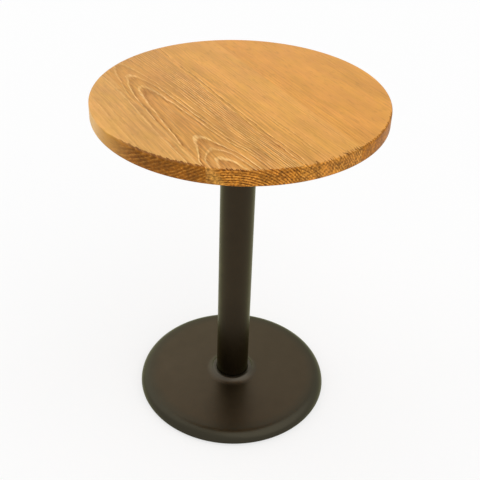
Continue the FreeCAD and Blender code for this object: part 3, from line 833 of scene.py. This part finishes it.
def stained_ash(name, cut):
    """Ash stained golden and lacquered: to the eye a warm satin gold, with dark and pale lines of growth.

    Its year rings are drawn in the solid, so that face and rim agree.
    """
    material = bare_material(name)
    tree = material.node_tree
    grain = log_grain(tree, cut)
    edge_stain(tree, cut, grain)
    wood = node(tree, "ShaderNodeMix", (grain.on_rim, face_wood(tree, cut, grain),
                                        rim_wood(tree, cut, grain)), data_type="RGBA")
    # Fibres 60 mm long, faint in plain wood, drawn 1.6 mm wide because the real ones are too fine to show
    fibre = grain_noise(tree, grain.board, 1.6, 60, detail=3.0)
    stripes = node(tree, "ShaderNodeMapRange", (fibre, *noise_span, -0.1, 0.08))
    lively = node(tree, "ShaderNodeMath", (grain.side_fade, cut.figure[0]), operation="MULTIPLY")
    brushed = node(tree, "ShaderNodeMapRange", (lively, 0.0, 1.0, 0.15, 1.0))
    fibre_tone = node(tree, "ShaderNodeMath", (stripes, brushed, 1.0), operation="MULTIPLY_ADD")
    # Stain takes unevenly in clouds some 95 mm long, and darkens single pores some 24 mm long
    cloud = grain_noise(tree, grain.board, 40, 95, detail=3.0)
    clouds = node(tree, "ShaderNodeMapRange", (cloud, *noise_span, 0.91, 1.09))
    single = grain_noise(tree, grain.board, 5, 24, detail=1.0)
    dark_pores = node(tree, "ShaderNodeMapRange", (single, 0.6, 0.7, 1.0, 0.9))
    cloud_tone = node(tree, "ShaderNodeMath", (clouds, dark_pores), operation="MULTIPLY")
    # Brushing has opened pale and dark streaks, some 4 mm wide and 90 mm long, where the figure is lively
    streak = grain_noise(tree, grain.board, 4, 90, detail=3.0)
    streaks = node(tree, "ShaderNodeMapRange", (streak, 0.34, 0.66, -0.15, 0.19))
    opened = node(tree, "ShaderNodeMath", (grain.fade, cut.figure[0]), operation="MULTIPLY")
    streak_tone = node(tree, "ShaderNodeMath", (streaks, opened, 1.0), operation="MULTIPLY_ADD")
    even_tone = node(tree, "ShaderNodeMath", (fibre_tone, cloud_tone), operation="MULTIPLY")
    tone = node(tree, "ShaderNodeMath", (even_tone, streak_tone), operation="MULTIPLY")
    # In patches of some 60 mm the stain leans to gold or to pink
    gold = (1.0, 1.008, 0.95)
    pink = (1.015, 0.99, 1.05)
    blush = grain_noise(tree, grain.board, 30, 60, detail=2.0)
    pinkness = node(tree, "ShaderNodeMapRange", (blush, *noise_core, 0.0, 1.0))
    lean = node(tree, "ShaderNodeMix", (pinkness, gold, pink), data_type="VECTOR")
    tinted = node(tree, "ShaderNodeVectorMath", (wood, lean), operation="MULTIPLY")
    stained = node(tree, "ShaderNodeVectorMath", (tinted, tone), operation="SCALE")
    # The lacquer follows the rings and the fibres, and is duller along some fibres
    ridges = node(tree, "ShaderNodeMath", (grain.season, grain.shown), operation="MULTIPLY")
    surface = node(tree, "ShaderNodeMath", (fibre, 0.5, ridges), operation="MULTIPLY_ADD")
    bump = node(tree, "ShaderNodeBump", {"Height": surface, "Strength": 0.35, "Distance": 0.3 * MM})
    satin = node(tree, "ShaderNodeMapRange", (fibre, *noise_span, 0.4, 0.52))
    shader = node(tree, "ShaderNodeBsdfPrincipled", {
        "Base Color": stained, "IOR": 1.45, "Specular IOR Level": 0.12, "Roughness": satin, "Normal": bump})
    node(tree, "ShaderNodeOutputMaterial", {"Surface": shader})
    return material


# Each stave's place in its log, from the first on the left to the last on the right
stave_cuts = [
    StaveCut(pith=(-50, 550), ring_mm=9.0, rise=((-300, 0), (300, 8)), wander_mm=8, wriggle=0.5,
             figure=(0.9, 0.6), rim_years=0.6, lively_across=(-200, -300), creep_mm=10.5, stroke_mm=2.5,
             fleck=0.22, first_year=20, face=("#d39d55", "#e7b76f", "#b77c39"),
             rim=("#8d5512", "#c88c3e", "#784509")),
    StaveCut(pith=(-160, 662), ring_mm=3.2, wander_mm=2.0, wriggle=0.4, figure=(1.0, 0.85), rim_years=1.5,
             rise=((-300, 0), (-205, 3.5), (-175, 6.7), (-122, 9.9), (0, 13.1), (110, 16.3), (170, 19.5),
                   (300, 24.5)),
             lively_across=(-40, 0), creep_mm=5.0, stroke_mm=3.0, fleck=0.36, first_year=198,
             sapwood=(-193, -178), face=("#ce944b", "#f2c780", "#a06626"),
             rim=("#b87322", "#dd9f49", "#5f3204")),
    StaveCut(pith=(-130, 623), ring_mm=4.6, rise=((-300, 0), (300, 5)), wander_mm=8, wriggle=0.8,
             figure=(1.0, 0.5), rim_years=1, lively_across=(-45, 25), creep_mm=5.5, stroke_mm=6.0,
             fleck=0.42, face=("#d4994c", "#f3c174", "#985e21"), rim=("#b4762a", "#e2aa54", "#643503")),
    StaveCut(pith=(480, 520), ring_mm=6.0, rise=((-300, 0), (300, 10)), wander_mm=14, wriggle=0.6,
             figure=(0.4, 0.45), rim_years=1, lively_across=(88, 240), creep_mm=3.5, stroke_mm=2.0,
             fleck=0.25, face=("#d89847", "#e4a959", "#c07e34"), rim=("#a86811", "#c08329", "#7a4506")),
    StaveCut(pith=(560, 500), ring_mm=7.0, rise=((-300, 0), (300, 10)), wander_mm=14, wriggle=0.6,
             figure=(0.4, 0.4), rim_years=1, lively_across=(220, 400), creep_mm=1.5, stroke_mm=1.0,
             fleck=0.25, face=("#d59645", "#e2a856", "#c07e34"), rim=("#9e631b", "#b3792d", "#7b4a11")),
]
edges = (-top_radius,) + glue_lines + (top_radius,)
for number, cut in enumerate(stave_cuts, start=1):
    stave = sawn_stave(f"top_stave_{number}_lacquered", edges[number - 1], edges[number])
    stave.data.materials.append(stained_ash(f"golden_stained_ash_{number}", cut))
    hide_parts(f"top_stave_{number}")
    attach(stave, "table")

# Wood screws
# Eight countersunk screws, two in each arm of the spider, that hold the top. They are cold headed steel
# with a cross recess, zinc plated, and sit flush in the arms.
screw_face = 728.0
screw_face_radius = 4.7
screw_head_radius = 5.0
screw_head_edge = 0.3
screw_head_height = 2.6
screw_shank_radius = 2.4
screw_shank_height = 21.0
screw_length = 26.0
screws, sizes = new_tree("screws_on_arms", Arms="Int", Per_Arm="Int", First_Place="Float", Spacing="Float",
                         Recess_Span="Float", Recess_Width="Float", Recess_Depth="Float", Head_Face="Float",
                         Plate="Material")
deep = node(screws, "ShaderNodeMath", (sizes["Recess Depth"], 2.0), operation="MULTIPLY")
head_face = node(screws, "ShaderNodeCombineXYZ", {"Z": sizes["Head Face"]})
recessed = node(screws, "GeometryNodeMeshBoolean", {"Mesh 1": sizes["Geometry"]}, operation="DIFFERENCE",
                solver="EXACT")
for long_way, short_way in (("X", "Y"), ("Y", "X")):
    slot_size = node(screws, "ShaderNodeCombineXYZ", {long_way: sizes["Recess Span"],
                                                      short_way: sizes["Recess Width"], "Z": deep})
    bit = node(screws, "GeometryNodeMeshCube", {"Size": slot_size})
    bit = node(screws, "GeometryNodeTransform", {"Geometry": bit, "Translation": head_face})
    screws.links.new(bit.outputs[0], recessed.inputs["Mesh 2"])
first = node(screws, "ShaderNodeCombineXYZ", {"X": sizes["First Place"]})
pitch = node(screws, "ShaderNodeCombineXYZ", {"X": sizes["Spacing"]})
row = node(screws, "GeometryNodeMeshLine", {"Count": sizes["Per Arm"], "Start Location": first,
                                            "Offset": pitch})
on_arm = node(screws, "GeometryNodeInstanceOnPoints", {"Points": row, "Instance": recessed})
on_arm = node(screws, "GeometryNodeRealizeInstances", [on_arm])
driven = all_round(screws, on_arm, sizes["Arms"], 0.0)
plated = node(screws, "GeometryNodeSetMaterial", {"Geometry": driven, "Material": sizes["Plate"]})
node(screws, "NodeGroupOutput", [plated])
wood_screws = turned("wood_screws_countersunk", [
    (0, screw_face), (screw_face_radius, screw_face), (screw_head_radius, screw_face + screw_head_edge),
    (screw_shank_radius, screw_face + screw_head_height),
    (screw_shank_radius, screw_face + screw_shank_height), (0, screw_face + screw_length),
], steps=32)
grown(wood_screws, screws, Arms=4, Per_Arm=2, First_Place=165 * MM, Spacing=27 * MM, Recess_Span=5.2 * MM,
      Recess_Width=1.1 * MM, Recess_Depth=1.4 * MM, Head_Face=screw_face * MM, Plate=zinc)
crisp(wood_screws.data)
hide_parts("spider_screws")
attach(wood_screws, "table")

# Floor, light and camera
# A plain white studio: a pale paper floor that keeps the table's shadow, a wide soft light in front to the
# right and a weaker one behind to the left. The camera stands where the photograph was taken from.
floor_half = 14.0
paper_white = "#f7f7f7"
pure_white = "#ffffff"
paper_whiteness = 0.65
sky_strength = 0.62

floor_mesh = bpy.data.meshes.new("studio_floor")
floor_mesh.from_pydata([(-floor_half, -floor_half, 0), (floor_half, -floor_half, 0),
                        (floor_half, floor_half, 0), (-floor_half, floor_half, 0)], [], [(0, 1, 2, 3)])
floor = bpy.data.objects.new("studio_floor", floor_mesh)
bpy.context.scene.collection.objects.link(floor)


def looked_at(tree):
    """Is 1 for what the camera sees, directly, mirrored or through something, and 0 for spread light."""
    ray = node(tree, "ShaderNodeLightPath").outputs
    seen = node(tree, "ShaderNodeMath", (ray["Is Camera Ray"], ray["Is Glossy Ray"]), operation="MAXIMUM")
    return node(tree, "ShaderNodeMath", (seen, ray["Is Transmission Ray"]), operation="MAXIMUM")


# Mostly plain white to the eye, with enough of the lit paper left to keep the table's shadow
paper = bare_material("matt_white_paper")
tree = paper.node_tree
lit = node(tree, "ShaderNodeBsdfDiffuse", {"Color": linear(paper_white)})
white = node(tree, "ShaderNodeEmission", {"Color": linear(pure_white), "Strength": 1.0})
clear = node(tree, "ShaderNodeMath", (looked_at(tree), paper_whiteness), operation="MULTIPLY")
shown = node(tree, "ShaderNodeMixShader", (clear, lit, white))
node(tree, "ShaderNodeOutputMaterial", {"Surface": shown})
floor_mesh.materials.append(paper)

# White to the eye, and a soft grey sky to the light that falls on the table
world = bpy.data.worlds.new("white_studio")
bpy.context.scene.world = world
world.use_nodes = True
sky = world.node_tree
sky.nodes.clear()
level = node(sky, "ShaderNodeMapRange", {"Value": looked_at(sky), "To Min": sky_strength, "To Max": 1.0})
glow = node(sky, "ShaderNodeBackground", {"Color": linear(pure_white), "Strength": level})
node(sky, "ShaderNodeOutputWorld", {"Surface": glow})


def soft_light(name, bearing, height, spread, power):
    """A wide, even studio light from a bearing and a height, in degrees; bearing 0 is the camera's side."""
    stand_off = 3
    lamp = bpy.data.lights.new(name, "SUN")
    lamp.angle = math.radians(spread)
    lamp.energy = power
    light = bpy.data.objects.new(name, lamp)
    across = math.radians(bearing)
    up = math.radians(height)
    away = Vector((math.sin(across) * math.cos(up), -math.cos(across) * math.cos(up), math.sin(up)))
    light.rotation_euler = away.to_track_quat("Z", "Y").to_euler()
    light.location = away * stand_off
    bpy.context.scene.collection.objects.link(light)


soft_light("key_light_right", bearing=55, height=52, spread=80, power=1.0)
soft_light("fill_light_left", bearing=-125, height=48, spread=80, power=0.7)

# Angles in radians, from looking level along +Y
camera_place = Vector((-0.01463, -1.53223, 1.47366))
camera_bearing = 0.015
camera_fall = 0.6038
camera_roll = 0.0353
lens = bpy.data.cameras.new("camera")
lens.sensor_width = 36.0
lens.lens = 62.68
camera = bpy.data.objects.new("camera", lens)
turn = Matrix.Rotation(-camera_bearing, 3, "Z") @ Matrix.Rotation(math.pi / 2 - camera_fall, 3, "X")
camera.rotation_euler = (turn @ Matrix.Rotation(camera_roll, 3, "Z")).to_euler()
camera.location = camera_place
bpy.context.scene.collection.objects.link(camera)
bpy.context.scene.camera = camera
bpy.context.scene.view_settings.view_transform = "Standard"
